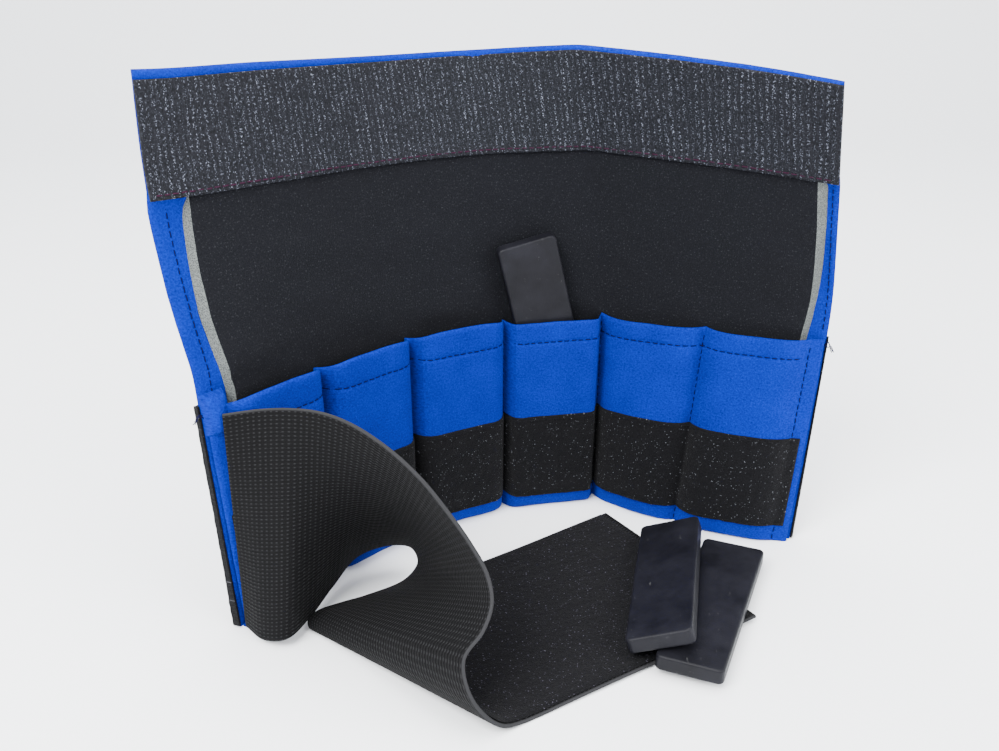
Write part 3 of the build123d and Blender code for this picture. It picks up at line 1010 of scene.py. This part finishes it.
def stitch_tube(start, end, up):
    """One stitch's points: a short thread that dives into the cloth at both ends."""
    stops = (0.0, 0.12, 0.5, 0.88, 1.0)
    rises = (-0.45, 0.12, 0.22, 0.12, -0.45)
    along = end - start
    along = along / np.linalg.norm(along)
    side = np.cross(along, up)
    side /= np.linalg.norm(side)
    points = []
    for stop, rise in zip(stops, rises):
        centre = start + (end - start) * stop + up * rise
        for angle in ring_angles():
            points.append(centre + THREAD_RADIUS * (math.cos(angle) * side + math.sin(angle) * up))
    return points


def build_stitches(name, lines, material, low_only=False):
    """Sews several lines, each a path of (u, v) and its height off the wall, in the frame's regions."""
    rng = np.random.default_rng(61)
    groups = {}
    for path, level in lines:
        lengths = np.linalg.norm(np.diff(path, axis=0), axis=1)
        stations = np.concatenate([[0], np.cumsum(lengths)])
        starts = np.arange(0.4, stations[-1] - STITCH, STITCH + STITCH_GAP)
        offsets = np.stack([starts, starts + STITCH], axis=1)
        u = np.interp(offsets, stations, path[:, 0]) + rng.uniform(-0.15, 0.15, offsets.shape)
        v = np.interp(offsets, stations, path[:, 1]) + rng.uniform(-0.15, 0.15, offsets.shape)
        places = offset_wall(u, v, level(u, v))
        ups = wall_normal(u, v)[:, 0]
        codes = regions_of(u[:, 0], v[:, 0], low_only)
        for code, place, up, start_u, start_v in zip(codes, places, ups, u[:, 0], v[:, 0]):
            points, faces, flat = groups.setdefault(int(code), ([], [], []))
            tube = stitch_tube(place[0], place[1], up)
            base, rings = len(points), len(tube) // THREAD_SIDES
            points.extend(tube)
            faces.extend(tuple(base + index for index in face) for face in tube_faces(rings))
            flat.extend([(start_u, start_v, 0.0)] * len(tube))
    for code, (points, faces, flat) in sorted(groups.items()):
        kind, index = region_name(code)
        piece = mesh_object(f"{name}_{kind}_{index}", points, faces, [material], None, flat)
        bind(piece, (kind, index))


def straight(u0, v0, u1, v1):
    """Evenly spaced path between two points of the flat cloth."""
    t = np.linspace(0, 1, 80)
    return np.stack([u0 + (u1 - u0) * t, v0 + (v1 - v0) * t], axis=1)


def sew():
    """All the visible seams of the wall."""
    def on_shell(u, v):
        return np.full_like(u, SHELL_FRONT + 0.15)

    def on_pocket(u, v):
        return pocket_face(u, v) + 0.1

    def on_loop(u, v):
        return pocket_face(u, v) + 1.35

    def on_hook(u, v):
        return np.full_like(u, 0.55)

    left, right = LEFT_END + 7.0, RIGHT_END - 3.0
    low, high = MOUTH + 4.0, HOOK_BOTTOM - 1.0
    borders = [(straight(left, low, left + 0.8, high), on_shell),
               (straight(right, low, right, high), on_shell)]
    build_stitches("border_stitch", borders, NAVY)
    lines = [(straight(1, MOUTH - HEM, LAST_SEAM - 1, MOUTH - HEM), on_pocket)]
    for low, high in ((1.0, LOOP_BOTTOM), (LOOP_TOP, MOUTH - 1)):
        lines += [(straight(PITCH * k, low, PITCH * k, high), on_pocket) for k in range(7)]
    build_stitches("pocket_stitch", lines, NAVY, low_only=True)
    rows = (LOOP_BOTTOM + 1.6, LOOP_TOP - 1.6)
    tapes = [(straight(-4, row, LAST_SEAM + 3, row), on_loop) for row in rows]
    build_stitches("loop_stitch", tapes, BLACK, low_only=True)
    row = HOOK_BOTTOM + 2.2
    build_stitches("hook_stitch", [(straight(-6, row, LAST_SEAM + 6, row), on_hook)], PLUM)


def thread_end(name, points, region):
    """A loose end of sewing thread: a thin round tube along a smooth path."""
    path = natural_curve(points, np.linspace(0, len(points) - 1, 28))
    along = np.gradient(path, axis=0)
    along /= np.linalg.norm(along, axis=1, keepdims=True)
    side = np.cross(along, [0.3, 0.2, 0.93])
    side /= np.linalg.norm(side, axis=1, keepdims=True)
    up = np.cross(side, along)
    rings = [path + FRAY_RADIUS * (math.cos(a) * side + math.sin(a) * up) for a in ring_angles()]
    points = np.stack(rings, axis=1).reshape(-1, 3)
    flat = np.zeros_like(points)
    bind(mesh_object(name, points, tube_faces(len(path)), [NAVY], None, flat), region)


def fray():
    """Frayed thread ends at the two corners of the pocket row's mouth."""
    for number, (end, way, seam) in enumerate(((LEFT_END, -1, 0), (RIGHT_END, 1, 6))):
        start = offset_wall(np.array([end]), np.array([CORNER_HEIGHT]), np.array([-5.0]))[0]
        for strand in range(3):
            swings = [random.uniform(-1, 1) for _ in range(4)]
            path = ((-0.8, 0.0), (1.2, 1.2), (2.6, -0.5), (3.2 + 0.5 * strand, -2.0))
            points = [start + np.array([way * x, -0.4 * x + 0.8 * swing, z + 1.4 * swing])
                      for (x, z), swing in zip(path, swings)]
            thread_end(f"thread_end_{number}_{strand}", points, ("seam", seam))


def build_tuck():
    """Folded tuck of shell fabric that closes the left end of the pocket row's mouth."""
    low, high = CORNER_HEIGHT - TUCK_HALF_HEIGHT, CORNER_HEIGHT + TUCK_HALF_HEIGHT
    u_lines = axis_samples(LEFT_END, TUCK_END, 1.0, (), 1.5)
    v_lines = axis_samples(low, high, 1.5, V_CUTS, 2.5)
    middle = (LEFT_END + TUCK_END) / 2

    def bulge(u, v):
        x = np.clip(np.abs(u - middle) / (TUCK_END - middle), 0, 1)
        y = np.clip(np.abs(v - CORNER_HEIGHT) / TUCK_HALF_HEIGHT, 0, 1)
        return np.sqrt(np.clip(1 - x**2.6, 0, 1)) * np.sqrt(np.clip(1 - y**4, 0, 1))

    def front(u, v):
        return -5.2 + 8.6 * bulge(u, v) + 0.25 * smooth_noise(u, v, 9.0, 71) * bulge(u, v)

    points, faces, flat = sheet(u_lines, v_lines, front, lambda u, v: np.full_like(u, -5.9))
    cut_and_bind("corner_tuck", points, faces, flat, [BLUE])


# ---------------------------------------------------------------- bars, room, camera
FLOOR_FRONT = -1.6  # the floor and backdrop, in metres
FLOOR_BACK = 0.9
FLOOR_SIDE = 2.6
SWEEP = 0.6
SWEEP_STEPS = 12
BACKDROP_HEIGHT = 2.2
AREA_LIGHTS = (  # name, place, size and power
    ("key", (-0.5, -0.75, 1.0), 0.7, 38.0),
    ("fill", (0.9, -0.6, 0.7), 0.9, 18.0),
    ("top", (0.0, 0.1, 1.3), 1.0, 22.0),
)
SENSOR = 36.0
LENS = 39.6
CAMERA_TILT = 25.0
CAMERA_PLACE = (MAIN[0] - 56.0, MAIN[1] - 565.0, 340.0)


def finish_bars():
    """The CAD bars stay; each takes the scuffed coating."""
    for number in PANELS:
        node = frame["nodes"][f"weight_bar_{number}"]
        node.data.materials.clear()
        node.data.materials.append(COATING)


def build_floor():
    """Plain pale floor that curves up into a backdrop."""
    floor_material = Nodes("floor")
    floor_material.put((0.93, 0.94, 0.955), "Base Color")
    floor_material.put(0.9, "Roughness")
    curve = [(FLOOR_FRONT, 0.0), (FLOOR_BACK, 0.0)]
    for step in range(1, SWEEP_STEPS + 1):
        angle = math.pi / 2 * step / SWEEP_STEPS
        curve.append((FLOOR_BACK + SWEEP * math.sin(angle), SWEEP - SWEEP * math.cos(angle)))
    curve.append((FLOOR_BACK + SWEEP, BACKDROP_HEIGHT))
    points = [(x / MM, y / MM, z / MM) for y, z in curve for x in (-FLOOR_SIDE, FLOOR_SIDE)]
    faces = [(2 * k, 2 * k + 1, 2 * k + 3, 2 * k + 2) for k in range(len(curve) - 1)]
    mesh_object("floor", points, faces, [floor_material.material])


def studio():
    """Floor, soft lights and the camera."""
    build_floor()
    world = bpy.data.worlds.new("studio")
    world.use_nodes = True
    background = world.node_tree.nodes["Background"]
    background.inputs["Color"].default_value = (0.93, 0.96, 1.0, 1)
    background.inputs["Strength"].default_value = 2.0
    bpy.context.scene.world = world
    aim = Vector((MAIN[0] * MM - 0.03, -0.05, 0.1))
    for name, place, size, power in AREA_LIGHTS:
        data = bpy.data.lights.new(name, "AREA")
        data.size = size
        data.energy = power
        light = scene_object(name, data)
        light.location = Vector(place)
        light.rotation_euler = (aim - light.location).to_track_quat("-Z", "Y").to_euler()
    camera_data = bpy.data.cameras.new("camera")
    camera_data.sensor_width = SENSOR
    camera_data.lens = LENS
    camera = scene_object("camera", camera_data)
    camera.location = Vector(CAMERA_PLACE) * MM
    camera.rotation_euler = (math.radians(90 - CAMERA_TILT), 0, 0)
    bpy.context.scene.camera = camera


build_shell()
build_liner()
build_crease_tongue()
build_hook_strip()
build_outer_loop()
build_pockets()
build_pocket_floor()
build_loop_strip()
build_strap()
build_tuck()
sew()
fray()
finish_bars()
studio()
